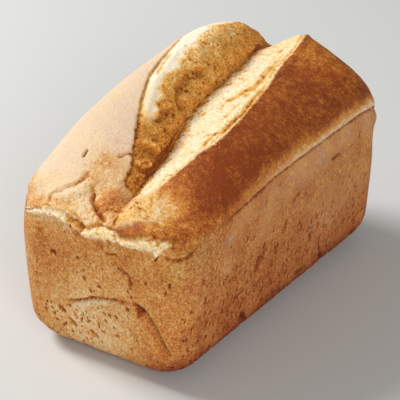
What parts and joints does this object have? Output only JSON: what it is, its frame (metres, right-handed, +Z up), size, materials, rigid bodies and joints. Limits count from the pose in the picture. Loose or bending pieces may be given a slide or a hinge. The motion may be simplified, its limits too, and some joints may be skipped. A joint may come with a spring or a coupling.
{
  "type": "tin loaf of bread",
  "caption": "White spelt tin loaf with straight baked walls, a rounded foot and a risen top split open lengthwise, for slicing and eating.",
  "frame": {"origin": "centre of the loaf's footprint, on the surface that it stands on", "axes": "+X along the loaf's length, away from the end with the torn ledge and the curved crack; +Z up"},
  "size_m": [0.2176, 0.1116, 0.13],
  "materials": {
    "crust": "matt baked crust, floury in places"
  },
  "bodies": {
    "root": {"loaf": "crust"}
  },
  "joints": []
}
